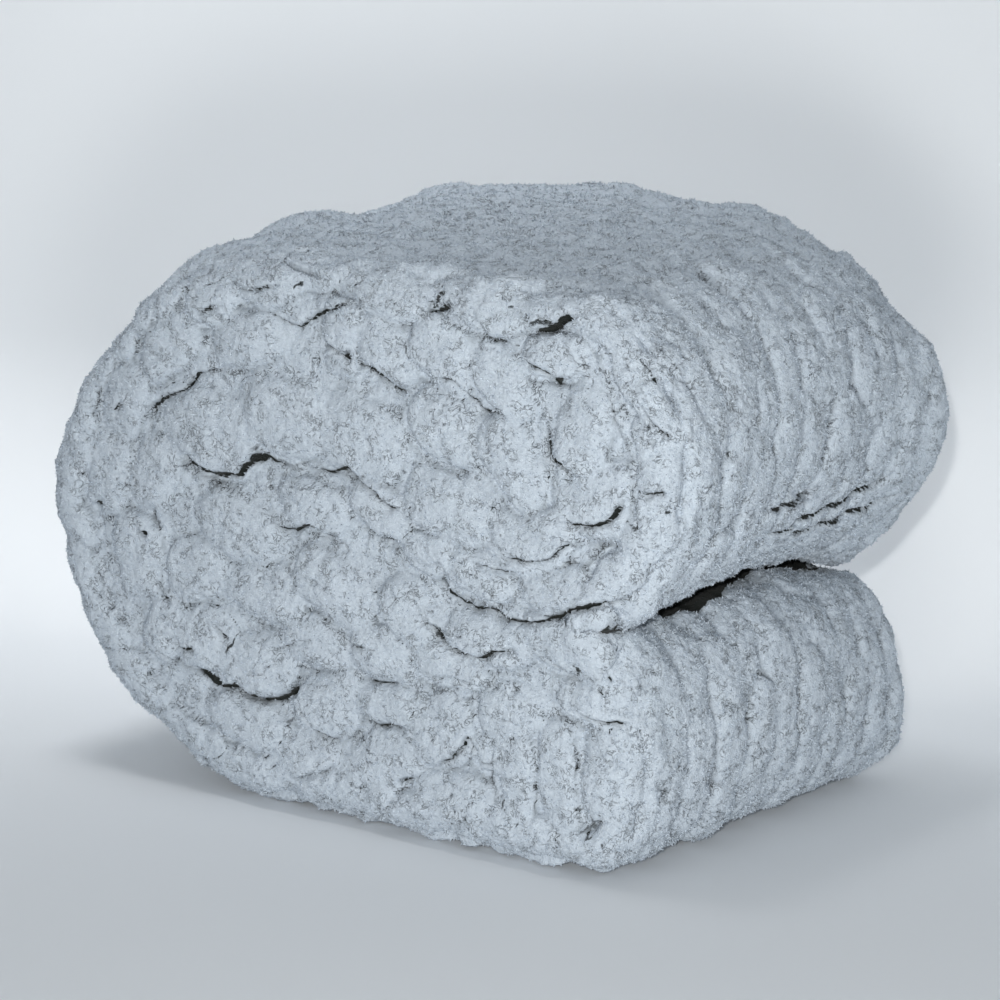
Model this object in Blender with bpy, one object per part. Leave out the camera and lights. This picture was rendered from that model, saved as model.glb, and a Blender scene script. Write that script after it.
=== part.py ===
"""A chunky knit blanket, folded for a shelf.

The knitted cloth is doubled into a long strip, both ends of the strip are turned in to the middle,
and the bundle is then folded in half. A cut across it shows one back-and-forth section: an inner
end, the round upper nose, the top, the big bend on the left, the bottom, the round lower nose and
the other inner end. +X runs along the bundle to its two noses, -Y is the face with the long crease
of the doubled cloth, and +Z is up. The origin is at the middle of the underside.
"""

import math

import bmesh
import bpy

# The whole bundle, in metres. "lean" is how much more the front has than the middle, and the back
# has that much less. "belly" is how much the middle bulges past a line from front to back
DEPTH = 0.228               # from the front crease to the back crease
TOP_HEIGHT = 0.281
TOP_LEAN = -0.009
TOP_BELLY = 0.007
TOP_FALL = -0.003           # of the top, from the upper nose to the big bend
BEND_REACH = 0.1923         # of the big bend on the left, from the origin
BEND_LEAN = 0.006
BEND_BELLY = 0.005
UPPER_REACH = 0.1967        # of the upper nose, from the origin
UPPER_LEAN = -0.006
UPPER_BELLY = -0.002
LOWER_REACH = 0.1767        # of the lower nose
LOWER_LEAN = -0.009
LOWER_BELLY = 0.005

# How far back from its tip each nose or bend begins, and the shape of its outline: 2 is an ellipse
# and more is squarer
UPPER_NOSE_UNDER = 0.060
UPPER_NOSE_OVER = 0.100
UPPER_NOSE_LEAN = -0.034    # the back of the upper nose slopes off sooner than the front
LOWER_NOSE = 0.038
BEND_OVER = 0.163
BEND_UNDER = 0.140
NOSE_SHAPE = 2.1
BEND_SHAPE = 2.0

# The groove between the noses, and the slits between layers that lie on each other
GROOVE_HEIGHT = 0.114
GROOVE_LEAN = 0.008
SLIT_RISE = 0.028           # of the slit that runs on from the groove to the left
SLIT = 0.0024
LOWER_SLIT_END = 0.072      # from the end of the lower slit to the tip of its nose

# The doubled cloth, round the path that it takes
CORE_REACH = 0.1367         # the rolled-in end, inside the upper nose
CORE_ROUND = 0.028
CORE_CLEAR = 0.007          # from its tip to the inside of the nose
CORE_SLIT_START = 0.047     # from the inside of the big bend to the slit under that rolled-in end
STRIP_END = 0.010           # the height of the strip's two flat ends
UNDER_THICK = 0.038         # of the layer under the rolled-in end, at the nose
UNDER_THICK_LEFT = 0.028
TOP_THICK = 0.064           # of the layer over it, at the nose
TOP_THICK_LEFT = 0.052
BEND_THICK = 0.070
BOTTOM_THICK = 0.052
CREASE_RADIUS = 0.021       # of the front and back creases
SLIT_CREASE = 0.009         # how far they draw in beside a slit
MOST_INSET = 0.40           # of the cloth's thickness that a crease may take from each face
SWELL = 0.004               # how far the hollows between soft swellings sink
SWELL_PITCH = 0.105
RIB_PITCH = 0.0202          # one yarn's width, across the knit columns
RIB_DEPTH = 0.0040

# How finely the section and the cloth are cut
TIP_STEPS = 3
CORE_STEPS = 6
TURN_STEPS = 7
UNDER_STEPS = 7
NOSE_STEPS = 12
LONG_STEPS = 8
BEND_STEPS = 16
END_STEPS = 9
CREASE_STEPS = 4
RIB_STEPS = 3
INSIDE_STEPS = 8
SLIT_STATIONS = TIP_STEPS + CORE_STEPS + TURN_STEPS + UNDER_STEPS

BLANKET_COLOUR = (0.40, 0.46, 0.52, 1.0)


def empty_scene():
    """Remove what a new Blender file starts with."""
    for old in list(bpy.data.objects):
        bpy.data.objects.remove(old, do_unlink=True)


def smooth(low, high, value):
    """Rise smoothly from 0 at low to 1 at high."""
    part = min(1.0, max(0.0, (value - low) / (high - low)))
    return part * part * (3.0 - 2.0 * part)


def leaning(middle, lean, belly, depth):
    """A size of the bundle at a depth from -1, the front, to 1, the back."""
    return middle - lean * depth + belly * (1.0 - depth * depth)


def line(start, end, steps):
    """Evenly spaced points from start up to, and not including, end."""
    return [(start[0] + (end[0] - start[0]) * i / steps,
             start[1] + (end[1] - start[1]) * i / steps) for i in range(steps)]


def half_round(start, end, reach, shape, steps):
    """A rounded half outline from start out to x = reach and back to end, which is left out."""
    points = []
    height = (start[1] + end[1]) / 2.0
    half = (end[1] - start[1]) / 2.0
    for i in range(steps):
        angle = math.pi * (i / steps - 0.5)
        root = start[0] + (end[0] - start[0]) * i / steps
        out = math.cos(angle) ** (2.0 / shape)
        up = math.copysign(abs(math.sin(angle)) ** (2.0 / shape), angle)
        points.append((root + (reach - root) * out, height + half * up))
    return points


def quarter_round(tip, root, shape, steps):
    """A rounded quarter outline from tip, where it is upright, to root, where it is level."""
    points = []
    for i in range(steps):
        angle = math.pi / 2.0 * i / steps
        out = math.cos(angle) ** (2.0 / shape)
        up = math.sin(angle) ** (2.0 / shape)
        points.append((root[0] + (tip[0] - root[0]) * out, tip[1] + (root[1] - tip[1]) * up))
    return points


def hollow(across, along):
    """How far the cloth sinks at a place on a face, between its soft swellings."""
    bend = math.sin(math.tau * along / (2.3 * SWELL_PITCH))
    across_wave = math.sin(math.tau * across / SWELL_PITCH + bend)
    along_wave = math.cos(math.tau * along / SWELL_PITCH - bend)
    return SWELL * (1.0 - across_wave * along_wave) / 2.0


def cloth_faces(depth):
    """The two faces of the folded strip at a depth, as two equally long lists of points.

    Both run from the end that is rolled in, round its turn and along the layer under it, round the
    upper nose, over the top, round the big bend, along the bottom and round the lower nose to the
    other end. The outer face is the one that shows, and that lines the groove.
    """
    top = leaning(TOP_HEIGHT, TOP_LEAN, TOP_BELLY, depth)
    top_left = top - TOP_FALL
    groove = leaning(GROOVE_HEIGHT, GROOVE_LEAN, 0.0, depth)
    slit_left = groove + SLIT_RISE
    upper_reach = leaning(UPPER_REACH, UPPER_LEAN, UPPER_BELLY, depth)
    lower_reach = leaning(LOWER_REACH, LOWER_LEAN, LOWER_BELLY, depth)
    bend_reach = leaning(BEND_REACH, BEND_LEAN, BEND_BELLY, depth)
    half_slit = SLIT / 2.0

    core_root = CORE_REACH - CORE_ROUND
    core_under = groove + UNDER_THICK + half_slit
    core_under_left = slit_left + UNDER_THICK_LEFT + half_slit
    core_over = top - TOP_THICK - SLIT
    core_over_left = top_left - TOP_THICK_LEFT - SLIT
    core_middle = (core_under + core_over) / 2.0
    tip_over = (CORE_REACH, core_middle + STRIP_END / 2.0)
    tip_under = (CORE_REACH, core_middle - STRIP_END / 2.0)
    nose_under = (upper_reach - UPPER_NOSE_UNDER, groove + half_slit)
    nose_over = (upper_reach - leaning(UPPER_NOSE_OVER, UPPER_NOSE_LEAN, 0.0, depth), top)
    bend_over = (BEND_OVER - bend_reach, top_left)
    bend_under = (BEND_UNDER - bend_reach, 0.0)
    nose_low = (lower_reach - LOWER_NOSE, 0.0)
    nose_high = (lower_reach - LOWER_NOSE, groove - half_slit)
    inner_bend = BEND_THICK - bend_reach
    turn_over = (bend_over[0], core_over_left)
    turn_under = (inner_bend + 2.0 * SLIT, slit_left + half_slit)
    turn = quarter_round(turn_under, turn_over, BEND_SHAPE, TURN_STEPS)
    last = (inner_bend + 4.0 * SLIT, slit_left - half_slit)
    outer = (
        quarter_round(tip_over, (core_root, core_over), NOSE_SHAPE, TIP_STEPS)
        + line((core_root, core_over), turn_over, CORE_STEPS)
        + [turn_over]
        + turn[:0:-1]
        + line(turn_under, nose_under, UNDER_STEPS)
        + half_round(nose_under, nose_over, upper_reach, NOSE_SHAPE, NOSE_STEPS)
        + line(nose_over, bend_over, LONG_STEPS)
        + half_round(bend_over, bend_under, -bend_reach, BEND_SHAPE, BEND_STEPS)
        + line(bend_under, nose_low, LONG_STEPS)
        + half_round(nose_low, nose_high, lower_reach, NOSE_SHAPE, NOSE_STEPS)
        + line(nose_high, last, END_STEPS)
        + [last]
    )

    core_slit = inner_bend + CORE_SLIT_START
    slit_over = (core_slit, core_under_left)
    slit_under = (core_slit, core_under_left - SLIT)
    inside_under = (core_root, core_under - SLIT)
    inside_over = (core_root, core_over + SLIT)
    inside_bend_over = (bend_over[0], core_over_left + SLIT)
    inside_bend_under = (bend_under[0], BOTTOM_THICK)
    slit_low = (lower_reach - LOWER_SLIT_END, BOTTOM_THICK)
    slit_high = (lower_reach - LOWER_SLIT_END, BOTTOM_THICK + SLIT)
    end_turn = (bend_under[0], BOTTOM_THICK + SLIT)
    end_steps = END_STEPS // 2
    end_round = quarter_round((last[0], last[1] - STRIP_END), end_turn, BEND_SHAPE, end_steps)
    inner = (
        quarter_round(tip_under, (core_root, core_under), NOSE_SHAPE, TIP_STEPS)
        + line((core_root, core_under), slit_over, CORE_STEPS)
        + half_round(slit_over, slit_under, core_slit - half_slit, 2.0, TURN_STEPS)
        + line(slit_under, inside_under, UNDER_STEPS)
        + half_round(inside_under, inside_over, CORE_REACH + CORE_CLEAR, NOSE_SHAPE, NOSE_STEPS)
        + line(inside_over, inside_bend_over, LONG_STEPS)
        + half_round(inside_bend_over, inside_bend_under, inner_bend, BEND_SHAPE, BEND_STEPS)
        + line(inside_bend_under, slit_low, LONG_STEPS)
        + half_round(slit_low, slit_high, slit_low[0] + half_slit, 2.0, NOSE_STEPS)
        + line(slit_high, end_turn, END_STEPS - end_steps)
        + [end_turn]
        + end_round[::-1]
    )
    return outer, inner


def face_normals(points, sign):
    """The unit normals along a face of the section, out of the cloth."""
    found = []
    for i in range(len(points)):
        before = points[max(i - 1, 0)]
        after = points[min(i + 1, len(points) - 1)]
        along_x, along_z = after[0] - before[0], after[1] - before[1]
        length = math.hypot(along_x, along_z)
        found.append((sign * along_z / length, -sign * along_x / length))
    return found


def ring_places():
    """Places round the strip's own section, as (depth in metres, outer face or not, inset, valley).

    inset is the share of the crease's radius by which the face is drawn in there.
    """
    flat = DEPTH / 2.0 - CREASE_RADIUS
    ribs = round(2.0 * flat / RIB_PITCH) * RIB_STEPS
    places = []
    for i in range(ribs + 1):
        places.append((flat * (2.0 * i / ribs - 1.0), True, 0.0, i % RIB_STEPS == 0))
    back = []
    for i in range(1, CREASE_STEPS + 1):
        angle = math.pi / 2.0 * i / CREASE_STEPS
        back.append((flat + CREASE_RADIUS * math.sin(angle), 1.0 - math.cos(angle)))
    places += [(depth, True, inset, False) for depth, inset in back]
    places += [(depth, False, inset, False) for depth, inset in reversed(back)]
    for i in range(INSIDE_STEPS + 1):
        places.append((flat * (1.0 - 2.0 * i / INSIDE_STEPS), False, 0.0, False))
    places += [(-depth, False, inset, False) for depth, inset in back]
    places += [(-depth, True, inset, False) for depth, inset in reversed(back)]
    return places


def blanket_points():
    """Lines of points along the strip, one for each place round its section."""
    lines = []
    for depth, on_outer, inset, valley in ring_places():
        creased = abs(depth) > DEPTH / 2.0 - CREASE_RADIUS
        outer, inner = cloth_faces(2.0 * depth / DEPTH)
        face, other, sign = (outer, inner, 1) if on_outer else (inner, outer, -1)
        points = []
        for i, (near, far, normal) in enumerate(zip(face, other, face_normals(face, sign))):
            thick = math.dist(near, far)
            shows = on_outer and SLIT_STATIONS <= i < len(face) - END_STEPS
            sunk = min(inset * (CREASE_RADIUS if shows else SLIT_CREASE), MOST_INSET * thick)
            off_floor = smooth(-0.9, -0.4, normal[1])
            if shows:
                sunk += hollow(depth, near[0] + near[1]) * off_floor
                sunk += RIB_DEPTH * off_floor * valley
            place = depth
            if creased:
                place -= math.copysign(hollow(near[0], near[1]), depth)
            points.append((near[0] - normal[0] * sunk, place, near[1] - normal[1] * sunk))
        lines.append(points)
    return lines


def build_blanket(material):
    """Join the lines of points into one closed body."""
    mesh = bpy.data.meshes.new("blanket")
    shape = bmesh.new()
    rows = [[shape.verts.new(point) for point in points] for points in blanket_points()]
    for row, following in zip(rows, rows[1:] + rows[:1]):
        for a, b, c, d in zip(row, row[1:], following[1:], following):
            shape.faces.new((a, b, c, d))
    shape.faces.new([row[0] for row in rows])
    shape.faces.new([row[-1] for row in reversed(rows)])
    bmesh.ops.triangulate(shape, faces=shape.faces)
    bmesh.ops.recalc_face_normals(shape, faces=shape.faces)
    shape.to_mesh(mesh)
    shape.free()
    mesh.shade_smooth()
    blanket = bpy.data.objects.new("blanket", mesh)
    blanket.data.materials.append(material)
    return blanket


def yarn_material():
    """Matt blue-grey chenille."""
    material = bpy.data.materials.new("chenille yarn")
    material.use_nodes = True
    surface = material.node_tree.nodes["Principled BSDF"]
    surface.inputs["Base Color"].default_value = BLANKET_COLOUR
    surface.inputs["Roughness"].default_value = 0.95
    surface.inputs["Metallic"].default_value = 0.0
    return material


empty_scene()
collection = bpy.data.collections.new("chunky knit blanket")
bpy.context.scene.collection.children.link(collection)
collection.objects.link(build_blanket(yarn_material()))
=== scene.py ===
import math

import bmesh
import bpy
import numpy as np
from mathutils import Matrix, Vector, noise


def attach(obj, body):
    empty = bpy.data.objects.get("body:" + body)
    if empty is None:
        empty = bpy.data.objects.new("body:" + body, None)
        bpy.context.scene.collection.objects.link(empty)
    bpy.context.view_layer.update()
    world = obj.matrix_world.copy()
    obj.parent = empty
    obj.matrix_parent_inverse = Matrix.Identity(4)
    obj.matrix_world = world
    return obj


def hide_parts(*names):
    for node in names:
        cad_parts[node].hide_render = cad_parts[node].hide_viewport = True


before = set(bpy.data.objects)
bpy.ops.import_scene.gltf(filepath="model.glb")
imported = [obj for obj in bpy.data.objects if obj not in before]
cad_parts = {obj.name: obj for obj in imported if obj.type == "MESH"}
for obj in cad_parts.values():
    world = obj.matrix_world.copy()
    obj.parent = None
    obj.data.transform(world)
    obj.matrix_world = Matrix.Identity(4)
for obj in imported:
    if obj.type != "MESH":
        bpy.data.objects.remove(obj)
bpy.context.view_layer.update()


# The camera stands 1.5 m off with a long lens, a little above the blanket and to the right of its front.
# Its place and its lens were fitted to the blanket's outline in the photograph.
TARGET = Vector((0.0098, 0, 0.1443))
AZIMUTH = math.radians(35.57)
ELEVATION = math.radians(12.6)
DISTANCE = 1.5
FILM_WIDTH = 36
FOCAL_RATIO = 2.97166
towards = Vector((math.sin(AZIMUTH) * math.cos(ELEVATION),
                  -math.cos(AZIMUTH) * math.cos(ELEVATION),
                  math.sin(ELEVATION)))
camera = bpy.data.objects.new("camera", bpy.data.cameras.new("camera"))
camera.data.sensor_width = FILM_WIDTH
camera.data.lens = FILM_WIDTH * FOCAL_RATIO
camera.location = TARGET + DISTANCE * towards
camera.rotation_euler = (-towards).to_track_quat("-Z", "Y").to_euler()
bpy.context.scene.collection.objects.link(camera)
bpy.context.scene.camera = camera


# The folded form. One long piece of thick chenille knit is doubled, both its ends are turned in to the
# middle, and the bundle is folded in half, so that its outside runs from the groove between two noses
# over the top, round the big bend and back along the floor. It is held by nothing but its own weight.
#
# Sizes are in millimetres. Where one has three numbers, they are its middle, how much more the front
# has than the middle, and how much the middle bulges.
DEPTH = 228
TOP = (281, -9, 7)
TOP_FALL = 3                # of the top towards the nose, from the big bend
BEND = (192.3, 6, 5)        # how far the big bend reaches to the left
BEND_OVER = 163             # from its tip to where it meets the top
BEND_UNDER = 140
BEND_SHAPE = 2.0            # 2 is an ellipse, and more is squarer
UPPER_NOSE = (196.7, -6, -2)
UPPER_OVER = (100, -34, 0)  # from the upper nose's tip to where it meets the top
UPPER_UNDER = 60
LOWER_NOSE = (176.7, -9, 5)
LOWER_ROUND = 38
NOSE_SHAPE = 2.1
GROOVE = (114, 8, 0)        # the height of the groove between the noses
GROOVE_LIFT = 8             # how far it rises where the upper nose is drawn up,
LIFT_PLACE = 0.25           # the middle of that place, as a depth from -1 to 1,
LIFT_REACH = 0.5            # and its reach to each side
GROOVE_END = 128            # the x where its modelled part ends
SLIT = 1.6                  # half the groove's width
SLIT_RISE = 28              # how far the slit rises inwards,
SLIT_LENGTH = 253           # over its whole length
CREASE_RADIUS = 21
VOXEL = 1.12


def leaning(middle, lean, belly, depth):
    """A size of the bundle at a depth from -1, the front, to 1, the back."""
    return middle - lean * depth + belly * (1 - depth * depth)


def groove_height(depth):
    """The height of the middle of the groove between the noses, at a depth."""
    return leaning(*GROOVE, depth) + GROOVE_LIFT * np.exp(-((depth - LIFT_PLACE) / LIFT_REACH) ** 4)


def line(start, end, steps):
    """Evenly spaced points from start up to, and not including, end."""
    return np.linspace(start, end, steps, endpoint=False)


def half_round(start, end, reach, shape, steps):
    """A rounded half outline from start out to x = reach and back to end, which is left out."""
    part = np.arange(steps) / steps
    angle = np.pi * (part - 0.5)
    root = start[0] + (end[0] - start[0]) * part
    out = np.cos(angle) ** (2 / shape)
    up = np.sign(angle) * np.abs(np.sin(angle)) ** (2 / shape)
    height = (start[1] + end[1]) / 2 + (end[1] - start[1]) / 2 * up
    return np.stack([root + (reach - root) * out, height], axis=1)


def outline(depth):
    """The outside of the bundle, as x and z, from inside the groove round to inside the groove."""
    top = leaning(*TOP, depth)
    groove = groove_height(depth)
    upper = leaning(*UPPER_NOSE, depth)
    lower = leaning(*LOWER_NOSE, depth)
    bend = leaning(*BEND, depth)
    nose_under = (upper - UPPER_UNDER, groove + SLIT)
    nose_over = (upper - leaning(*UPPER_OVER, depth), top)
    bend_over = (BEND_OVER - bend, top + TOP_FALL)
    bend_under = (BEND_UNDER - bend, 0)
    nose_low = (lower - LOWER_ROUND, 0)
    nose_high = (lower - LOWER_ROUND, groove - SLIT)
    deep = groove + SLIT_RISE * (nose_under[0] - GROOVE_END) / SLIT_LENGTH
    return np.concatenate([
        line((GROOVE_END, deep + SLIT), nose_under, steps=12),
        half_round(nose_under, nose_over, upper, NOSE_SHAPE, steps=44),
        line(nose_over, bend_over, steps=24),
        half_round(bend_over, bend_under, -bend, BEND_SHAPE, steps=64),
        line(bend_under, nose_low, steps=30),
        half_round(nose_low, nose_high, lower, NOSE_SHAPE, steps=36),
        line(nose_high, (GROOVE_END, deep - SLIT), steps=12),
        [(GROOVE_END, deep - SLIT)],
    ])


GROOVE_INSET = 2
INNER_GROOVE = (150, 118, 14)  # the x where it begins, its height and its half height


def drawn_in(points, inset):
    """An outline drawn in along its normals, but by GROOVE_INSET at most inside the groove."""
    along = np.roll(points, -1, axis=0) - np.roll(points, 1, axis=0)
    along /= np.linalg.norm(along, axis=1)[:, None]
    reach, middle, half = INNER_GROOVE
    in_groove = (points[:, 0] < reach) & (np.abs(points[:, 1] - middle) < half) & (points[:, 0] > 0)
    amount = np.where(in_groove, min(inset, GROOVE_INSET), inset)
    return points + np.stack([-along[:, 1], along[:, 0]], axis=1) * amount[:, None]


CREASE_STEPS = 9
FLAT_STEPS = 14


def plain_form():
    """The plain form as one closed mesh of even squares, with no stitches yet."""
    flat = DEPTH / 2 - CREASE_RADIUS
    turns = np.radians(np.linspace(0, 90, CREASE_STEPS))
    back = [(flat + CREASE_RADIUS * math.sin(t), CREASE_RADIUS * (1 - math.cos(t))) for t in turns]
    rows = [(-place, inset) for place, inset in reversed(back)] + back
    between = [(place, 0.0) for place in np.linspace(-flat, flat, FLAT_STEPS)[1:-1]]
    rows[CREASE_STEPS:CREASE_STEPS] = between
    form = bmesh.new()
    rings = []
    for place, inset in rows:
        points = drawn_in(outline(2 * place / DEPTH), inset)
        rings.append([form.verts.new((x / 1000, place / 1000, z / 1000)) for x, z in points])
    for ring, following in zip(rings, rings[1:]):
        for a, b, c, d in zip(ring, ring[1:] + ring[:1], following[1:] + following[:1], following):
            form.faces.new((a, b, c, d))
    form.faces.new(rings[0])
    form.faces.new(rings[-1])
    bmesh.ops.triangulate(form, faces=form.faces)
    bmesh.ops.recalc_face_normals(form, faces=form.faces)
    mesh = bpy.data.meshes.new("plain form")
    form.to_mesh(mesh)
    form.free()
    plain = bpy.data.objects.new("plain form", mesh)
    bpy.context.scene.collection.objects.link(plain)
    remesh = plain.modifiers.new("even squares", "REMESH")
    remesh.mode = "VOXEL"
    remesh.voxel_size = VOXEL / 1000
    soften = plain.modifiers.new("soften", "SMOOTH")
    soften.factor = 0.5
    soften.iterations = 6
    worked_out = plain.evaluated_get(bpy.context.evaluated_depsgraph_get())
    made = bpy.data.meshes.new_from_object(worked_out)
    bpy.data.objects.remove(plain, do_unlink=True)
    return made


form = plain_form()
points = np.empty(len(form.vertices) * 3)
form.vertices.foreach_get("co", points)
points = points.reshape(-1, 3) * 1000
normals = np.empty(len(form.vertices) * 3)
form.vertex_normals.foreach_get("vector", normals)
normals = normals.reshape(-1, 3)
squares = np.empty(len(form.polygons) * 4, dtype=int)
form.polygons.foreach_get("vertices", squares)
squares = squares.reshape(-1, 4)

# How far round the outside each point lies, from the groove, in whole millimetres: first to the nearest
# of a few places on the outline, then to the nearest of all those about it
COARSE = 8
BATCH = 20000
track = outline(0.0)
passed = np.concatenate([[0], np.cumsum(np.linalg.norm(np.diff(track, axis=0), axis=1))])
ROUND = int(passed[-1])
track = np.stack([np.interp(np.arange(ROUND), passed, track[:, i]) for i in (0, 1)], axis=1)
nearest = np.empty(len(points), dtype=int)
for start in range(0, len(points), BATCH):
    part = points[start:start + BATCH, None, [0, 2]]
    away = ((part - track[None, ::COARSE]) ** 2).sum(axis=2)
    nearest[start:start + BATCH] = COARSE * np.argmin(away, axis=1)
steps = np.clip(nearest[:, None] + np.arange(-COARSE, COARSE + 1)[None], 0, ROUND - 1)
away = ((points[:, None, [0, 2]] - track[steps]) ** 2).sum(axis=2)
around = steps[np.arange(len(points)), np.argmin(away, axis=1)].astype(float)


# The stitches. Each is a plump leg or loop of yarn about 20 mm across, pulled through the one before it,
# so that it lies over its neighbour at one end and dives under at the other. The relief of one side of
# the bundle is a height map in mm with two points a millimetre, and each stitch is a dome laid on it.
CELL = 0.5
FLOOR = -5.5        # between stitches that don't meet
LIP_RISE = 1.5      # of the lip of a crack,
LIP_REACH = 6       # how soon it sinks back,
LIP_SPAN = 22       # and where it ends
CUT_SHARE = 0.55    # of a crack's depth that is cut, the rest being its painted black shadow
BLACK_DEPTH = 4.4   # from where on a crack's painted shadow is fully black


class Relief:
    """The height of the knit over the plain form on one side of the bundle, in mm, on a flat map.

    It spans the map's corners low and high. The rim of a stitch lies drop under its top, stitches that
    differ in height by less than tuck are joined by a soft seam, and a higher edge makes squarer sides."""

    def __init__(self, low, high, drop, tuck, edge):
        self.drop = drop
        self.tuck = tuck
        self.edge = edge
        self.low = np.array(low) / CELL
        size = (np.array(high) / CELL - self.low).astype(int) + 1
        self.height = np.full(size, FLOOR)
        # Besides the height, the map keeps painted shade along the seams between stitches, the depth cut
        # into cracks and the cracks' painted shadow
        self.seam = np.zeros(size)
        self.cut = np.zeros(size)
        self.crack_shade = np.zeros(size)

    def window(self, middle, reach):
        """The part of the map within reach of a place, and its two coordinates."""
        first = np.maximum(np.floor((middle - reach) / CELL - self.low).astype(int), 0)
        last = np.minimum(np.ceil((middle + reach) / CELL - self.low).astype(int), self.height.shape)
        last = np.maximum(last, first)
        across = (np.arange(first[0], last[0])[:, None] + self.low[0]) * CELL
        up = (np.arange(first[1], last[1])[None] + self.low[1]) * CELL
        return (slice(first[0], last[0]), slice(first[1], last[1])), across, up

    def loop(self, x, y, length, width, turn=0.0, bow=0.0, rise=0.0, lift=0.0, roll=0.0):
        """Lay a stitch. turn is its angle in degrees, bow bends it, rise raises it all, lift its far end
        and roll its left side."""
        part, across, up = self.window(np.array([x, y]), max(length, width) / 2 + abs(bow))
        c, s = math.cos(math.radians(turn)), math.sin(math.radians(turn))
        along = ((across - x) * c + (up - y) * s) / (length / 2)
        aside = (-(across - x) * s + (up - y) * c - bow * (1 - 2 * along * along)) / (width / 2)
        # 0 in the middle of the stitch, and 1 at its rim
        far = np.abs(along) ** 3 + np.abs(aside) ** self.edge
        dome = rise + lift * along + roll * aside - self.drop * (1 - np.sqrt(np.maximum(0, 1 - far)))
        below = self.height[part]
        near = np.maximum(0, 1 - np.abs(dome - below) / self.tuck)
        joined = np.maximum(dome, below) + self.tuck * near * near / 4
        self.height[part] = np.where(far < 1, joined, below)
        # The painted shade of a seam lies where two stitches meet at nearly one height
        seam = np.maximum(near, np.where(dome > below, 0, self.seam[part]))
        self.seam[part] = np.where(far < 1, seam, self.seam[part])

    def split(self, places, deep, wide):
        """Cut a crack along a few places, fading at both ends, under a lip on its left side, and paint its
        shadow black.
        """
        places = np.array(places, dtype=float)
        middle = (places.min(axis=0) + places.max(axis=0)) / 2
        part, across, up = self.window(middle, np.ptp(places, axis=0).max() / 2 + LIP_SPAN)
        nearest = np.full((across.shape[0], up.shape[1]), 1e9)
        how_far = np.zeros_like(nearest)
        left = np.zeros_like(nearest)
        for i, (a, b) in enumerate(zip(places, places[1:])):
            step = b - a
            t = ((across - a[0]) * step[0] + (up - a[1]) * step[1]) / (step @ step)
            t = np.clip(t, 0, 1)
            beside = (across - a[0] - t * step[0], up - a[1] - t * step[1])
            d = np.hypot(*beside)
            closer = d < nearest
            how_far = np.where(closer, (i + t) / (len(places) - 1), how_far)
            left = np.where(closer, step[0] * beside[1] - step[1] * beside[0], left)
            nearest = np.minimum(nearest, d)
        # Full strength along most of the crack, and less towards its ends
        strong = np.clip(1.6 * np.sin(np.pi * np.clip(how_far, 0.04, 0.96)), 0, 1)
        bulge = strong * np.exp(-nearest / LIP_REACH) * np.where(left > 0, LIP_RISE, -1.3 * LIP_RISE)
        self.cut[part] += bulge - CUT_SHARE * deep * strong * np.exp(-(nearest / wide) ** 2)
        # The crack's painted shadow: black in its core, the more so the deeper the crack
        painted_shade = strong * np.exp(-(nearest / (1.1 * wide + 0.3)) ** 2) * min(deep / BLACK_DEPTH, 1)
        self.crack_shade[part] = np.maximum(self.crack_shade[part], painted_shade)

    def sink(self, reach):
        """How far each place lies under the mean height within reach of it, in mm."""
        cells = int(reach / CELL)
        padded = np.pad(self.height, cells + 1, mode="edge")
        total = padded.cumsum(axis=0).cumsum(axis=1)
        wide = 2 * cells + 1
        square = total[wide:, wide:] - total[:-wide, wide:] - total[wide:, :-wide] + total[:-wide, :-wide]
        return square[:self.height.shape[0], :self.height.shape[1]] / wide ** 2 - self.height

    def at(self, x, y, values):
        """The map's values at places, between its points."""
        x = np.clip(x / CELL - self.low[0], 0, self.height.shape[0] - 1.001)
        y = np.clip(y / CELL - self.low[1], 0, self.height.shape[1] - 1.001)
        i, j = x.astype(int), y.astype(int)
        u, v = x - i, y - j
        return ((values[i, j] * (1 - u) + values[i + 1, j] * u) * (1 - v)
                + (values[i, j + 1] * (1 - u) + values[i + 1, j + 1] * u) * v)


# The ribs over the top, the big bend and the noses: nine columns of legs in planes that lie along the
# bundle, each leg tucked under the head of the next. Hand knitting is uneven, so each leg differs.
RIBS = 9
RIB_PITCH = 20.67
ROW_PITCH = 47
SLANT = 10
rng = np.random.default_rng(7)
outside = Relief((0, -126), (ROUND, 126), drop=4.5, tuck=1.5, edge=2.1)
for rib in range(RIBS):
    middle = (rib - (RIBS - 1) / 2) * RIB_PITCH
    slant = SLANT if rib % 2 else -SLANT
    begin = rng.uniform(-14, 14)
    for row in range(-1, int(ROUND / ROW_PITCH) + 2):
        outside.loop(
            begin + row * ROW_PITCH + rng.normal(0, 3),
            middle + rng.normal(0, 1.2),
            length=rng.uniform(60, 72),
            width=rng.uniform(21, 25),
            turn=slant + rng.normal(0, 3),
            bow=rng.normal(0, 1.0),
            rise=rng.normal(0, 0.8),
            lift=1.2,
            roll=rng.normal(0, 0.6),
        )

# Under the upper nose the ribs are pressed into a few long tucks, cut like cracks and painted black as
# shadow
UNDER_TUCKS = (
    # depth, half width, then places as the way round from the groove and y
    (6, 1.1, ((58, -30), (60, -8), (64, 20), (69, 42), (73, 61), (84, 80))),
    (5, 1.0, ((77, -34), (76, -16), (79, 2), (78, 14))),
    (5, 1.0, ((50, -12), (53, 14), (58, 44), (62, 66), (72, 90))),
)
for deep, wide, places in UNDER_TUCKS:
    outside.split(places, deep, wide)


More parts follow.
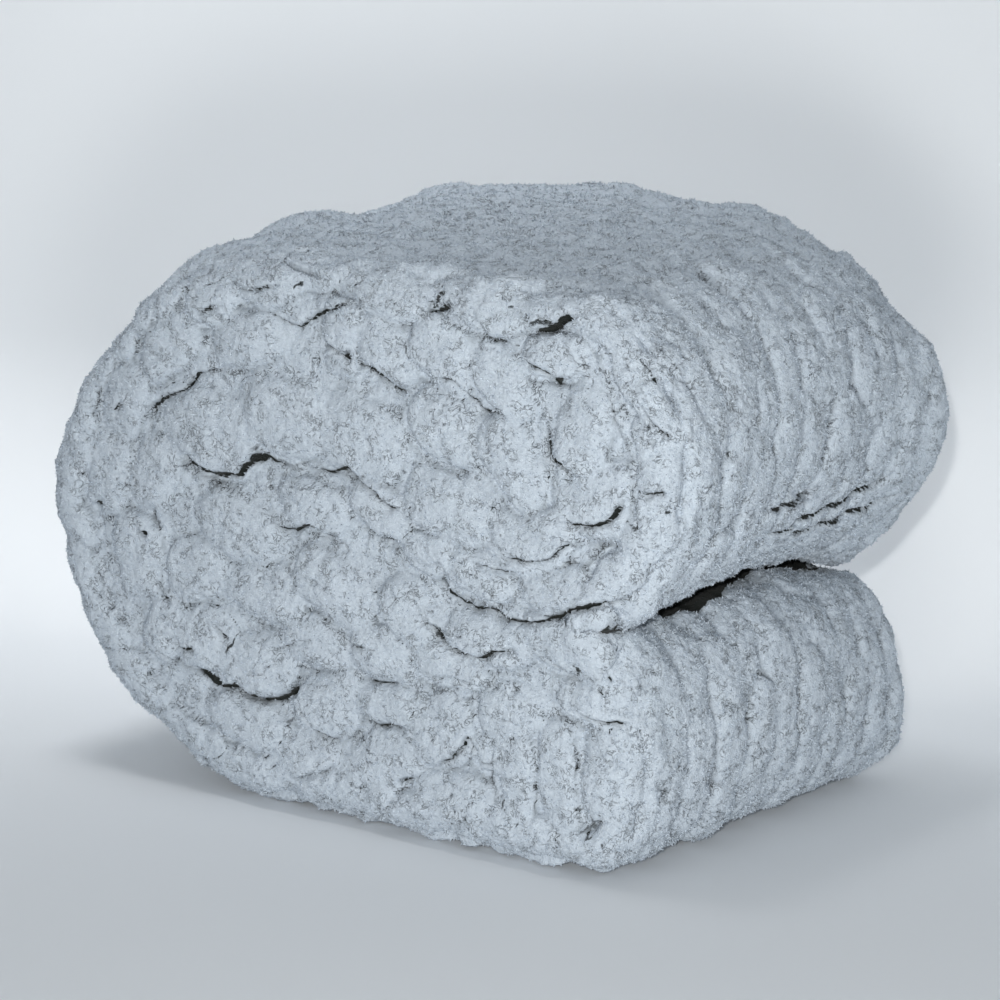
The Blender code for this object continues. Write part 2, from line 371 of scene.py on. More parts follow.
# The loops along the two creases, where the doubled cloth turns over: short plump heads that show on
# the outline of the bundle. Each lies on the outside and on a long face at once, pulled aslant.
front = Relief((-215, -12), (225, 318), drop=8.0, tuck=1.1, edge=2.6)
back = Relief((-215, -12), (225, 318), drop=8.0, tuck=1.1, edge=2.6)
EDGE_PITCH = 19
EDGE_INSET = 13
edge = drawn_in(track, EDGE_INSET)
for side, face in ((-1, front), (1, back)):
    for place in np.arange(20, ROUND - 10, EDGE_PITCH):
        here = int(place + rng.normal(0, 4)) % ROUND
        ahead = edge[min(here + 6, ROUND - 1)] - edge[max(here - 6, 0)]
        size = rng.uniform(42, 52)
        turn = rng.normal(33, 9)
        rise = rng.normal(0.8, 0.9)
        outside.loop(here, side * rng.uniform(99, 104), size, 21, turn=side * turn, rise=rise, lift=1.5)
        turn += math.degrees(math.atan2(ahead[1], ahead[0]))
        face.loop(*edge[here], size, 22, turn=turn, rise=rise, lift=1.5)


# The long face at the front. Where the doubled cloth folds, its stitches pull into loops of all sizes
# that overlap like petals, with deep cracks under the loosest ones. Both are placed as the photograph
# shows them, on the plane of the face.
FRONT_LOOPS = (
    # x, z, length, width, turn, bow, rise
    (-85, 187, 62, 48, -10, 0, 1.5),
    (-40, 200, 60, 40, -8, 0, 0.8),
    (8, 195, 60, 42, -14, 0, 0.8),
    (-4, 241, 42, 24, 85, 0, 1.0),
    (-50, 268, 46, 30, -4, -3, 1.0),
    (-82, 258, 42, 32, 20, -3, 0.8),
    (-28, 278, 40, 30, 6, 0, 0.6),
    (-60, 236, 52, 30, 14, 0, 0.4),
    (-110, 228, 50, 32, 44, 0, 0.8),
    (-142, 196, 48, 34, 60, 0, 0.8),
    (-154, 158, 46, 36, 84, 0, 0.6),
    (-125, 160, 44, 34, 70, 0, 0.2),
    (28, 270, 50, 34, 0, 0, 0.8),
    (26, 240, 44, 32, -24, 0, 0.6),
    (56, 240, 50, 34, -30, 0, 0.8),
    (78, 268, 52, 34, -6, 0, 0.6),
    (92, 232, 44, 30, -40, 0, 0.6),
    (60, 205, 50, 34, -20, 0, 0.6),
    (98, 195, 52, 34, -50, 0, 0.8),
    (121, 246, 42, 24, 0, 0, 1.0),
    (134, 208, 48, 30, 82, 0, 1.2),
    (120, 274, 52, 32, 4, 0, 0.5),
    (152, 262, 44, 34, -30, 0, 0.6),
    (168, 236, 56, 30, -52, 0, 0.8),
    (176, 206, 52, 28, -62, 0, 0.8),
    (140, 182, 46, 34, 14, -4, 1.2),
    (172, 172, 48, 34, 20, 0, 0.6),
    (104, 162, 62, 30, 6, -5, 1.2),
    (60, 168, 56, 34, -16, 0, 1.0),
    (20, 162, 44, 26, -24, 0, 0.8),
    (-22, 158, 50, 28, -8, 0, 1.0),
    (-70, 142, 60, 34, -12, 0, 0.4),
    (48, 146, 36, 24, -6, -3, 1.0),
    (78, 140, 46, 26, -8, 0, 0.6),
    (122, 138, 52, 24, 2, 0, 0.6),
    (160, 142, 52, 26, 8, 0, 0.8),
    (186, 156, 44, 30, 40, 0, 0.6),
    (-6, 118, 60, 34, -20, 0, 0.8),
    (-52, 112, 56, 32, -6, 0, 0.6),
    (-96, 116, 50, 34, 10, 0, 0.4),
    (-136, 116, 48, 34, 100, 0, 0.6),
    (36, 112, 44, 28, -40, 0, 0.6),
    (84, 110, 56, 26, -4, -3, 0.8),
    (122, 112, 44, 26, -20, 0, 0.4),
    (150, 106, 48, 26, -8, 0, 0.6),
    (-88, 82, 50, 36, 8, 0, 1.0),
    (-118, 84, 44, 30, 60, 0, 0.6),
    (-58, 76, 56, 34, 14, -3, 1.0),
    (-16, 62, 50, 36, 24, -5, 1.0),
    (-20, 90, 50, 28, 0, 0, 0.5),
    (22, 90, 50, 30, 0, 0, 0.6),
    (20, 66, 44, 24, 4, 0, 0.6),
    (52, 62, 50, 38, 34, -4, 1.2),
    (62, 92, 50, 26, -6, 0, 0.6),
    (94, 74, 40, 30, 10, 0, 0.8),
    (86, 58, 36, 28, 40, -4, 0.6),
    (144, 88, 48, 24, -6, 0, 1.0),
    (176, 88, 46, 34, 80, 0, 0.6),
    (99, 40, 54, 25, 92, 0, 1.6),
    (122, 46, 60, 25, 98, 0, 0.8),
    (145, 56, 54, 27, 84, 0, 0.8),
    (168, 50, 50, 26, 80, 0, 0.6),
    (146, 14, 72, 26, 10, 0, 1.4),
    (-66, 44, 56, 30, -10, 0, 0.6),
    (-28, 34, 54, 30, 14, 0, 0.8),
    (10, 32, 50, 30, 10, 0, 0.6),
    (28, 44, 44, 26, 6, 0, 0.6),
    (60, 26, 60, 30, 0, 0, 0.8),
    (30, 10, 56, 28, 0, 0, 0.6),
    (84, 12, 56, 26, 4, 0, 0.8),
)
FRONT_CRACKS = (
    # depth, half width, then places as x and z
    (6, 1.4, ((37, 141), (45, 138), (57, 138), (61, 127), (75, 122), (85, 123), (97, 120), (110, 119),
              (121, 124), (134, 128), (142, 132), (151, 134), (160, 138), (169, 145), (174, 151))),
    (5, 1.3, ((134, 128), (149, 122), (160, 127), (170, 128), (183, 129), (192, 134))),
    (7, 1.6, ((-109, 178), (-105, 174), (-99, 168), (-87, 165), (-77, 164), (-68, 166), (-61, 172),
              (-57, 177), (-50, 178), (-42, 177), (-35, 178), (-24, 175))),
    (5, 1.2, ((-30, 181), (-20, 176), (0, 179), (6, 175), (14, 170), (22, 167), (33, 162), (45, 158))),
    (4, 1.2, ((-126, 172), (-123, 186), (-118, 197), (-105, 202), (-100, 205), (-94, 211), (-91, 215),
              (-79, 219), (-66, 224))),
    (7, 1.4, ((-14, 254), (-13, 240), (-8, 236), (0, 232), (5, 240))),
    (6, 1.4, ((2, 234), (15, 229), (22, 226), (31, 222), (37, 221))),
    (4, 1.1, ((45, 233), (56, 226), (66, 226), (75, 221), (83, 218), (90, 218), (93, 213))),
    (4, 1.1, ((-40, 278), (-36, 276), (-27, 272), (-20, 271), (-12, 270))),
    (4, 1.1, ((-66, 262), (-60, 261), (-51, 261), (-35, 265))),
    (4, 1.1, ((-92, 246), (-84, 246), (-71, 251))),
    (4, 1.2, ((-44, 249), (-38, 248), (-25, 244), (-15, 250), (-1, 257), (9, 260))),
    (4, 1.2, ((-148, 188), (-142, 197))),
    (4, 1.2, ((46, 256), (55, 260), (66, 263))),
    (4, 1.2, ((74, 258), (86, 251), (95, 251))),
    (7, 1.8, ((108, 257), (113, 258), (120, 260), (127, 262), (133, 264))),
    (6, 1.4, ((104, 242), (108, 240), (117, 237), (124, 235), (132, 235))),
    (4, 1.1, ((122, 252), (133, 241), (140, 240))),
    (4, 1.2, ((155, 248), (158, 244))),
    (4, 1.2, ((167, 261), (177, 256))),
    (6, 1.3, ((118, 212), (119, 208), (120, 202), (124, 196), (130, 191), (137, 190))),
    (4, 1.2, ((145, 233), (150, 223), (153, 217), (156, 208))),
    (5, 1.3, ((119, 169), (131, 168), (140, 169), (149, 173), (155, 181), (158, 189))),
    (4, 1.0, ((159, 232), (170, 223), (180, 217), (184, 214))),
    (5, 1.2, ((165, 188), (174, 190), (182, 191))),
    (4, 1.2, ((193, 160), (200, 170), (206, 177))),
    (4, 1.1, ((84, 158), (95, 152), (102, 151), (111, 151), (121, 154), (130, 159), (136, 156))),
    (4, 1.1, ((74, 144), (86, 143), (104, 145))),
    (5, 1.3, ((-58, 154), (-45, 143), (-34, 144), (-24, 149), (-12, 145), (-2, 148))),
    (4, 1.1, ((8, 154), (20, 149), (33, 148))),
    (5, 1.3, ((38, 128), (46, 112), (57, 107), (61, 103), (70, 100), (80, 99), (88, 103), (99, 106),
              (103, 103))),
    (5, 1.2, ((115, 107), (126, 101), (137, 99))),
    (6, 1.4, ((127, 85), (136, 82), (147, 81), (158, 81), (168, 82))),
    (7, 1.7, ((-101, 69), (-94, 62), (-88, 59), (-79, 58), (-70, 60), (-62, 57), (-51, 58), (-41, 60),
              (-36, 65), (-30, 69), (-26, 76))),
    (6, 1.4, ((-35, 62), (-33, 59), (-29, 53), (-24, 45), (-17, 44), (-8, 44), (0, 51))),
    (4, 1.2, ((2, 57), (12, 55), (16, 53), (36, 57))),
    (5, 1.3, ((8, 77), (19, 75), (31, 77))),
    (4, 1.2, ((-16, 99), (-4, 96), (3, 94), (17, 91))),
    (3, 1.1, ((-54, 83), (-44, 83), (-33, 88), (-19, 91))),
    (5, 1.3, ((-83, 87), (-72, 82))),
    (5, 1.3, ((-110, 80), (-105, 75), (-94, 75))),
    (4, 1.2, ((-127, 72), (-110, 64))),
    (3, 1.2, ((-38, 18), (-18, 25), (-7, 31))),
    (4, 1.2, ((28, 29), (39, 34))),
    (4, 1.1, ((44, 38), (53, 41), (61, 46), (66, 53), (71, 59), (78, 48), (84, 47), (89, 51), (95, 58))),
    (4, 1.1, ((58, 17), (72, 18))),
    (4, 1.1, ((86, 56), (85, 42), (87, 28))),
    (4, 1.1, ((111, 58), (112, 42), (110, 26))),
    (3, 1.1, ((131, 19), (140, 25), (145, 31), (156, 31))),
    (4, 1.2, ((174, 48), (186, 51))),
    (3, 1.1, ((40, 85), (60, 87), (80, 84), (97, 86))),
    (3, 1.2, ((-163, 106), (-157, 98))),
    (3, 1.2, ((-152, 86), (-144, 84))),
    (8, 2.4, ((-107, 173), (-95, 166))),
    (8, 2.4, ((-98, 64), (-78, 58))),
    (6, 2.0, ((10, 231), (24, 225))),
    (6, 1.8, ((-61, 173), (-48, 178))),
    (7, 2.2, ((-162, 140), (-157, 140))),
    (6, 1.8, ((-136, 130), (-130, 130))),
    (6, 1.8, ((-124, 143), (-122, 130))),
    (6, 2.0, ((-119, 99), (-113, 97))),
    (6, 1.6, ((56, 283), (60, 279))),
    (6, 1.6, ((66, 212), (70, 206))),
    (5, 1.4, ((13, 196), (17, 188))),
    (4, 1.3, ((68, 187), (72, 185))),
    (5, 1.3, ((149, 102), (153, 100))),
    (5, 1.5, ((97, 87), (101, 85))),
    (5, 1.5, ((190, 234), (194, 231))),
    (5, 1.5, ((130, 44), (134, 42))),
)
for loop in FRONT_LOOPS:
    front.loop(*loop, lift=rng.normal(0, 1.0), roll=rng.normal(-1.4, 0.8))
for deep, wide, places in FRONT_CRACKS:
    front.split(places, deep, wide)

# The long face at the back has the same kind of loops, in bands that follow the layers.
BACK_BANDS = (
    # distance in from the outside, pitch
    (36, 40),
    (64, 38),
    (92, 40),
    (118, 44),
)
for inset, pitch in BACK_BANDS:
    band = drawn_in(track, inset)
    for place in np.arange(40, ROUND - 40, pitch):
        here = int(place + rng.normal(0, 5)) % ROUND
        ahead = track[(here + 4) % ROUND] - track[here]
        back.loop(
            *band[here],
            turn=rng.normal(0, 25) + math.degrees(math.atan2(ahead[1], ahead[0])),
            length=rng.uniform(44, 58),
            width=rng.uniform(28, 38),
            bow=rng.normal(0, 2),
            rise=rng.normal(0.4, 0.8),
        )


# The three sides meet over the creases, where stitches of both show between each other. Hand knitting
# wanders, and the crumbly pile breaks up every edge, so every place is looked up a little way off.
WANDERS = (
    # reach, how far
    (38, 3.2),
    (11, 1.8),
    (4.2, 0.9),
)
HIDDEN = 12         # how far the stitches of one side sink where the other side's show alone
NOISE_SEED = 1795534205     # drawn once from the clock and kept, because without one noise_vector starts from the clock

# 1 where the surface faces to the front or the back, and 0 where it faces along the bundle, up or down
face_share = np.clip((np.abs(normals[:, 1]) - 0.3) / 0.5, 0, 1)
is_front = points[:, 1] < 0
stirred = points.copy()
noise.seed_set(NOISE_SEED)
for reach, sway in WANDERS:
    drift = np.array([noise.noise_vector(Vector(p) / reach + Vector((7, 3, 1))) for p in points]) * sway
    around += drift[:, 2]
    stirred += drift


def all_round(pick, y):
    """A map's values over the whole bundle: those of the outside, and of the nearer long face.

    Places on the front were read from the photograph on the plane of its face, so a point that lies
    behind that plane is looked up along the photograph's line of sight."""
    behind = np.maximum(y + DEPTH / 2, 0) / -towards.y
    face = np.where(
        is_front,
        front.at(stirred[:, 0] + towards.x * behind, stirred[:, 2] + towards.z * behind, pick(front)),
        back.at(stirred[:, 0], stirred[:, 2], pick(back)),
    )
    return outside.at(around, stirred[:, 1], pick(outside)), face


outer, face = all_round(lambda side: side.height, points[:, 1])
outer = outer - HIDDEN * np.maximum(0, 2 * face_share - 1)
face = face - HIDDEN * np.maximum(0, 1 - 2 * face_share)
is_face = np.clip(face - outer + 0.5, 0, 1)
height = np.maximum(outer, face)


def seen(pick):
    """A map's values over the whole bundle, from whichever side's stitches show."""
    outer, face = all_round(pick, points[:, 1] + normals[:, 1] * height)
    return outer * (1 - is_face) + face * is_face


# The painted shade of hollows, seams and cracks. Where the cloth turns over a crease its pile closes over
# them, and their painted shade is weaker there, but for those at the groove. A seam's painted shade shows
# only below the crests of its stitches, and a crack, cut and painted, only from the front.
HOLLOW_REACH = 5
HOLLOW_DEPTH = 2.6
AT_GROOVE = (126, 16)       # its height and half height, in mm
creased = 1 - np.abs(2 * face_share - 1)
closed_over = creased * (np.abs(points[:, 2] - AT_GROOVE[0]) > AT_GROOVE[1])
# Painted shade in the hollows, the deeper the further a place lies under the mean height about it
hollow_shade = np.clip(seen(lambda side: side.sink(HOLLOW_REACH)) / HOLLOW_DEPTH, 0, 1)
hollow_shade *= 1 - 0.35 * closed_over
on_front = is_front & (is_face > 0.5)
# Painted shade along the seams between stitches
seam = seen(lambda side: side.seam) * np.clip(1 - 5 * creased, 0, 1)
seam *= np.where(on_front, 1, 0.75)
seam *= np.where(is_face > 0.5, np.clip((0.6 - face) / 0.8, 0, 1), 1)
in_sight = np.where(on_front, np.clip((normals @ towards - 0.3) / 0.2, 0, 1), 1)
cut = seen(lambda side: side.cut) * in_sight
crack_shade = seen(lambda side: side.crack_shade) * in_sight * (1 - 0.4 * closed_over)
DEEPEST = -8
height = np.maximum(height + cut, DEEPEST)


# The pile. Chenille's cut fibres stand out all round the yarn in small tufts, which clump together in
# crumbs with gaps between them. Over the creases the crumbs stand out as knobs.
LUMP = 95           # the sizes of each, in mm
SOFT_LUMP = 16
KNOB = 15
CRUMB = 8.5
TUFT = 2.8
SPECK = 1.7
swell = np.array([noise.noise(Vector(p) / LUMP) for p in points])
soft = np.array([noise.noise(Vector(p) / SOFT_LUMP) for p in points])
crumb = np.array([noise.voronoi(Vector(p) / CRUMB)[0][:2] for p in stirred])
tuft = np.array([noise.voronoi(Vector(p) / TUFT)[0][0] for p in points])
speck = np.array([noise.noise(Vector(p) / SPECK) for p in points])
knob = np.array([noise.voronoi(Vector(p) / KNOB)[0][0] for p in stirred])
patchy = np.clip(soft * 2.0 + 0.5, 0, 1)
# The gaps between crumbs dent the surface, and the yarn's colour paints shade in them too
gap = np.clip(1 - (crumb[:, 1] - crumb[:, 0]) / 0.16, 0, 1) * patchy

# How far they raise the surface, in mm, about the mean distance from the middle of a crumb or tuft
MEAN = 0.45
KNOB_MEAN = 0.42
HIGHEST = 4.5
height += 2.5 * swell + 1.5 * soft + 1.1 * (MEAN - crumb[:, 0]) + 0.8 * (MEAN - tuft) + 0.35 * speck
height += rng.normal(0, 0.12, len(points)) - 0.4 * gap - 0.8
height += (0.8 + 5.5 * creased) * (KNOB_MEAN - knob)
height = np.minimum(height, HIGHEST)

# Broad swells and dents, where the layers inside are plumper or looser
SWELLS = (
    # x, y, z, reach, rise
    (150, -102, 116, 20, 5.0),
    (172, -92, 118, 20, 5.0),
    (128, -106, 122, 16, 5.0),
    (-108, -77, 268, 22, 5.0),
    (-94, -30, 281, 22, 8.0),
    (-74, -2, 286, 14, -3.0),
    (-74, 22, 288, 18, -9.0),
    (-72, 54, 289, 22, 5.0),
    (-144, -96, 244, 22, -4.0),
    (-164, -102, 222, 26, -5.0),
    (-191, -104, 112, 26, -2.5),
    (-122, -106, 22, 22, -5.0),
    (-20, 90, 292, 26, 2.5),
    (20, 95, 292, 16, 4.0),
    (100, 104, 287, 18, 2.0),
    (142, 102, 274, 28, -6.5),
    (182, 103, 248, 28, -9.0),
    (199, 104, 200, 30, 5.5),
    (193, 103, 164, 26, 5.0),
    (160, 104, 94, 20, 4.0),
    (178, 104, 26, 24, 4.0),
)
for x, y, z, reach, rise in SWELLS:
    height += rise * np.exp(-((points - (x, y, z)) ** 2).sum(axis=1) / reach ** 2)

# The noses press on each other at the mouth of the groove, and little light comes in there, so its shadow
# is painted black on both noses. On the lower nose the painted shadow reaches out furthest a little in
# front of its middle, where the groove gapes.
MOUTH = 14          # from the inner end of the outline, in mm
MOUTH_REACH = 12
UPPER_SHADOW = 24
LOWER_SHADOW = 10
GAPE = (-20, 30, 12)
mouth = np.exp(-((np.minimum(around, ROUND - around) - MOUTH) / MOUTH_REACH) ** 2)
height += mouth * (1 - face_share)
upper_shadow = np.clip((UPPER_SHADOW - around) / 8, 0, 1)
gape_place, gape_reach, gape_more = GAPE
lower_reach = LOWER_SHADOW + gape_more * np.exp(-((points[:, 1] - gape_place) / gape_reach) ** 2)
lower_shadow = np.clip((lower_reach - (ROUND - around)) / 4, 0, 1)
# The groove's painted shadow goes in with the cracks' painted shadow
crack_shade = np.maximum(crack_shade, (upper_shadow + lower_shadow) * np.clip(1.4 - 2.4 * face_share, 0, 1))

# It lies on its lowest stitches, pressed flat where they touch
shaped = points + normals * height[:, None]
shaped[:, 2] = np.maximum(shaped[:, 2], 0)


# The yarn: matt blue-grey chenille with a velvety pile. Its tufts catch the light one by one, with painted
# highlights on them and painted shade in the short gaps between them, and the seams, cracks and hollows
# between the stitches are painted nearly black as shade.
class Shade:
    """A socket in the making of a material. Sums, products and the like add their Math nodes."""

    def __init__(self, tree, socket=None):
        self.tree = tree
        self.socket = socket

    def node(self, kind, settings=None, sockets=None, output=0):
        """Add a node with its settings and with its sockets' values or links, and give one output."""
        made = self.tree.nodes.new(kind)
        for name, value in (settings or {}).items():
            setattr(made, name, value)
        for name, value in (sockets or {}).items():
            if isinstance(value, Shade):
                self.tree.links.new(value.socket, made.inputs[name])
            else:
                made.inputs[name].default_value = value
        return Shade(self.tree, made.outputs[output])

    def sum(self, operation, first, second):
        return self.node("ShaderNodeMath", {"operation": operation}, {0: first, 1: second})

    def __add__(self, other):
        return self.sum("ADD", self, other)

    def __radd__(self, other):
        return self.sum("ADD", other, self)

    def __sub__(self, other):
        return self.sum("SUBTRACT", self, other)

    def __rsub__(self, other):
        return self.sum("SUBTRACT", other, self)

    def __mul__(self, other):
        return self.sum("MULTIPLY", self, other)

    def __rmul__(self, other):
        return self.sum("MULTIPLY", other, self)

    def between(self, low, high):
        """0 up to low, rising smoothly to 1 at high."""
        return self.node("ShaderNodeMapRange", {"interpolation_type": "SMOOTHSTEP"},
                         {"Value": self, "From Min": low, "From Max": high})

    def mixed(self, first, second):
        """The first colour where this is 0 and the second where it is 1."""
        return self.node("ShaderNodeMix", {"data_type": "RGBA"}, {0: self, 6: first, 7: second}, 2)


# The yarn's colour runs from PLAIN to PALE, lighter where tufts stand up, as painted highlight, and in
# patches; the near black is painted shade
PALE = (0.533, 0.598, 0.668, 1)
PLAIN = (0.450, 0.510, 0.580, 1)
SHADOW_BLACK = (0.010, 0.013, 0.012, 1)
RELIEF = 0.0010     # of the finest tufts, in metres


def chenille():
    """The material of the yarn, with its colours, painted highlights and shade, and its finest relief."""
    material = bpy.data.materials.new("chenille yarn")
    material.use_nodes = True
    surface = material.node_tree.nodes["Principled BSDF"]
    yarn = Shade(material.node_tree)
    place = yarn.node("ShaderNodeTexCoord", output=3)

    def grain(size, detail, distortion=0.0):
        """Noise from 0 to 1 whose features are about a size in mm across."""
        return yarn.node("ShaderNodeTexNoise", None, {
            "Vector": place, "Scale": 1000 / size, "Detail": detail, "Distortion": distortion})

    def kept(name):
        """A value from 0 to 1 that is kept with the mesh."""
        return yarn.node("ShaderNodeAttribute", {"attribute_name": name}, output=2)

    # Tufts and single fibres are painted lighter with the same noise that raises them in the bump,
    # as painted highlights, and broad patches are lighter or plainer in colour
    tufts = grain(2.2, 3.0)
    fibres = grain(0.8, 2.0)
    patches = grain(14, 2.0)
    light = (tufts * 0.8 + fibres * 0.6 + patches * 0.3).between(0.62, 1.08)
    colour = light.mixed(PLAIN, PALE)

    # Short crooked gaps show between tufts, in places, and longer ones between crumbs,
    # as dents in the bump and as painted shade in the colour
    ragged = (grain(2.4, 3.0) - 0.5) * 1.1
    crooked = yarn.node("ShaderNodeMath", {"operation": "ABSOLUTE"}, {0: grain(3.4, 2.0, 1.2) - 0.5})
    squiggles = (1 - crooked.between(0.0, 0.045)) * grain(7, 2.0).between(0.46, 0.6)
    gaps = (kept("gap") + ragged * 1.3).between(0.6, 0.95)

    # Cracks are painted black as shadow, with ragged edges in a soft painted shade,
    # and the painted shade of seams is thin and comes and goes
    crack_shadows = (kept("crack_shade") + ragged * 0.42).between(0.74, 0.92)
    shade = kept("crack_shade").between(0.05, 1.0)
    seam_shadows = (kept("seam") + ragged * 0.5).between(0.6, 0.9) * grain(19, 1.0).between(0.36, 0.56)
    # All the painted shade together darkens the colour towards near black
    painted_shade = crack_shadows + shade * 0.42 + seam_shadows * 0.8 + gaps * 0.3 + squiggles * 0.5 + kept("hollow_shade") * 0.5
    colour = painted_shade.between(0.0, 1.0).mixed(colour, SHADOW_BLACK)
    links = material.node_tree.links
    links.new(colour.socket, surface.inputs["Base Color"])
    relief = tufts * 0.7 + fibres * 0.5 - gaps * 0.5 - squiggles * 0.4
    bump = yarn.node("ShaderNodeBump", None, {"Strength": 1.0, "Distance": RELIEF, "Height": relief})
    links.new(bump.socket, surface.inputs["Normal"])
    surface.inputs["Roughness"].default_value = 0.95
    surface.inputs["Specular IOR Level"].default_value = 0.08
    surface.inputs["Sheen Weight"].default_value = 0.08
    surface.inputs["Sheen Roughness"].default_value = 0.6
    return material


yarn_material = chenille()

# The blanket is one cloth, but its mesh is fine, so it comes as five lengths cut straight through the
# bundle, each closed where it meets the next.
CUTS = (-120, -24, 74)
# The painted shade of hollows, seams and cracks, and the gaps between crumbs, kept on the mesh for the
# yarn's colour
KEPT = {"hollow_shade": hollow_shade, "seam": seam, "crack_shade": crack_shade, "gap": gap}


def in_place(name, mesh):
    """Make a piece of the blanket from its mesh."""
    mesh.materials.append(yarn_material)
    piece = bpy.data.objects.new(name, mesh)
    bpy.context.scene.collection.objects.link(piece)
    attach(piece, "root")
    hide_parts("blanket")


def length_of(name, chosen):
    """One length of the blanket as a closed mesh, from the squares chosen for it."""
    used, corners = np.unique(squares[chosen], return_inverse=True)
    mesh = bpy.data.meshes.new(name)
    mesh.from_pydata((shaped[used] / 1000).tolist(), [], corners.reshape(-1, 4).tolist())
    for label, values in KEPT.items():
        attribute = mesh.attributes.new(label, "FLOAT", "POINT")
        attribute.data.foreach_set("value", values[used].astype(np.float32))
    body = bmesh.new()
    body.from_mesh(mesh)
    rim = [edge for edge in body.edges if edge.is_boundary]
    for edge in rim:
        edge.smooth = False
    ends = bmesh.ops.holes_fill(body, edges=rim, sides=0)["faces"]
    bmesh.ops.triangulate(body, faces=ends)
    bmesh.ops.recalc_face_normals(body, faces=body.faces)
    body.to_mesh(mesh)
    body.free()
    mesh.polygons.foreach_set("use_smooth", [True] * len(mesh.polygons))
    in_place(name, mesh)


middles = points[squares].mean(axis=1)
quarter = np.digitize(middles[:, 0], CUTS)
is_upper = middles[:, 2] > groove_height(2 * middles[:, 1] / DEPTH) + 1
length_of("big_bend", quarter == 0)
length_of("left_middle", quarter == 1)
length_of("right_middle", quarter == 2)
length_of("upper_nose", (quarter == 3) & is_upper)
length_of("lower_nose", (quarter == 3) & ~is_upper)
bpy.data.meshes.remove(form)


# The loose ends of the pile: short flat fibres that stand out of the yarn and lean every way. None
# grows on the underside or in a crack.
FIBRES = 130000
FIBRE_WIDTH = 1.2
FIBRE_LENGTH = (0.7, 1.7)
FIBRE_ROOT = 0.5    # how deep it starts, in mm
FIBRE_LEAN = 1.1
UNDERSIDE = 3       # its height, in mm
open_squares = squares[(middles[:, 2] > UNDERSIDE) & (crack_shade[squares].max(axis=1) < 0.85)]
roots = open_squares[rng.integers(len(open_squares), size=FIBRES)]
u, v = rng.random((2, FIBRES, 1))
a, b, c, d = (shaped[roots[:, i]] for i in range(4))
root = (a * (1 - u) + b * u) * (1 - v) + (d * (1 - u) + c * u) * v
out = np.cross(c - a, d - b)
out /= np.linalg.norm(out, axis=1)[:, None]
out += rng.normal(0, FIBRE_LEAN / math.sqrt(3), (FIBRES, 3))
out /= np.linalg.norm(out, axis=1)[:, None]
across = np.cross(out, rng.normal(0, 1, (FIBRES, 3)))
across *= FIBRE_WIDTH / 2 / np.linalg.norm(across, axis=1)[:, None]
tip = root + out * rng.uniform(*FIBRE_LENGTH, (FIBRES, 1))
foot = root - FIBRE_ROOT * out
corners = np.stack([foot - across, foot + across, tip], axis=1).reshape(-1, 3)
corners[:, 2] = np.maximum(corners[:, 2], 0)
fibres = bpy.data.meshes.new("pile")
fibres.from_pydata((corners / 1000).tolist(), [], np.arange(3 * FIBRES).reshape(-1, 3).tolist())
in_place("pile", fibres)


# The surface: one plain pale sheet that lies flat under the blanket and sweeps up behind it. Its back is
# clear, so that the blanket shows from every side. Sizes are in metres.
SWEEP_TURN = 20     # degrees, to face the camera in part
SWEEP_FRONT = 3.0
SWEEP_BACK = 0.175
SWEEP_RADIUS = 0.16
SWEEP_TOP = 3.0
SWEEP_HALF = 4
FLAT_PARTS = 8
ROUND_PARTS = 24
sweep = bmesh.new()
profile = [(-SWEEP_FRONT, 0.0)] + [(SWEEP_BACK * i / FLAT_PARTS, 0.0) for i in range(FLAT_PARTS)]
for i in range(ROUND_PARTS + 1):
    angle = math.radians(90 * i / ROUND_PARTS)
    profile.append((SWEEP_BACK + SWEEP_RADIUS * math.sin(angle), SWEEP_RADIUS * (1 - math.cos(angle))))
profile.append((SWEEP_BACK + SWEEP_RADIUS, SWEEP_TOP))
columns = [[sweep.verts.new((x, away, up)) for away, up in profile] for x in (-SWEEP_HALF, SWEEP_HALF)]
for a, b, c, d in zip(columns[0], columns[0][1:], columns[1][1:], columns[1]):
    sweep.faces.new((a, d, c, b))
sheet_mesh = bpy.data.meshes.new("backdrop")
sweep.to_mesh(sheet_mesh)
sweep.free()
sheet_mesh.polygons.foreach_set("use_smooth", [True] * len(sheet_mesh.polygons))
backdrop = bpy.data.objects.new("backdrop", sheet_mesh)
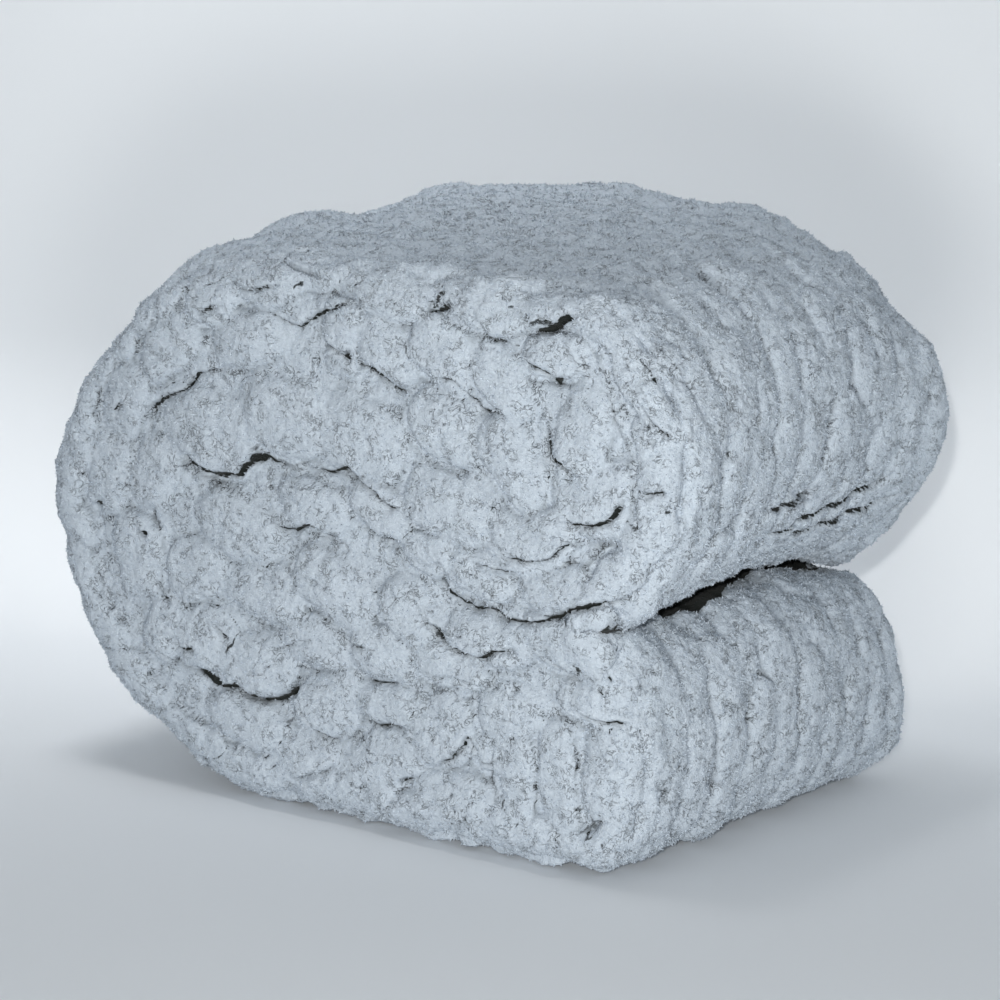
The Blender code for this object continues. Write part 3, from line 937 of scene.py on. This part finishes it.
backdrop.rotation_euler = (0, 0, math.radians(SWEEP_TURN))
bpy.context.scene.collection.objects.link(backdrop)
paper = bpy.data.materials.new("pale paper")
paper.use_nodes = True
paper_surface = paper.node_tree.nodes["Principled BSDF"]
paper_surface.inputs["Base Color"].default_value = (0.80, 0.83, 0.86, 1)
paper_surface.inputs["Roughness"].default_value = 0.9
is_back = Shade(paper.node_tree).node("ShaderNodeNewGeometry", output=6)
paper.node_tree.links.new((1 - is_back).socket, paper_surface.inputs["Alpha"])
sheet_mesh.materials.append(paper)


# The light: a small hard lamp just above the camera, a weaker soft one low in front, which opens the
# shadows under the noses, one high up for the backdrop alone, and an even pale room.
def lamp(name, spot, aim, size, power, spread=180, colour=(1, 1, 1)):
    """A square lamp of a size in metres and a power in watts, at a spot and turned to another."""
    light = bpy.data.lights.new(name, "AREA")
    light.color = colour
    light.size = size
    light.energy = power
    light.spread = math.radians(spread)
    made = bpy.data.objects.new(name, light)
    made.location = spot
    made.rotation_euler = (Vector(aim) - Vector(spot)).to_track_quat("-Z", "Y").to_euler()
    bpy.context.scene.collection.objects.link(made)


right = Vector((math.cos(AZIMUTH), math.sin(AZIMUTH), 0))
ahead = Vector((-math.sin(AZIMUTH), math.cos(AZIMUTH), 0))
up = Vector((0, 0, 1))
WARM = (1, 0.985, 0.95)
lamp("flash", TARGET + 1.7 * towards - 0.06 * right + 0.08 * up, TARGET, 0.03, 10.5, colour=WARM)
lamp("low fill", (0.63, -0.90, 0.08), (0, 0, 0.08), 0.25, 4.6, colour=WARM)
above = 0.1 * ahead - 0.25 * right + 1.7 * up
behind = 0.45 * ahead - 0.1 * right + 0.3 * up
lamp("backdrop lamp", above, behind, 0.5, 1.5, spread=50)
world = bpy.data.worlds.new("room")
world.use_nodes = True
room = world.node_tree.nodes["Background"]
room.inputs["Color"].default_value = (0.88, 0.94, 1.0, 1)
room.inputs["Strength"].default_value = 0.31
bpy.context.scene.world = world
bpy.context.scene.view_settings.view_transform = "Standard"
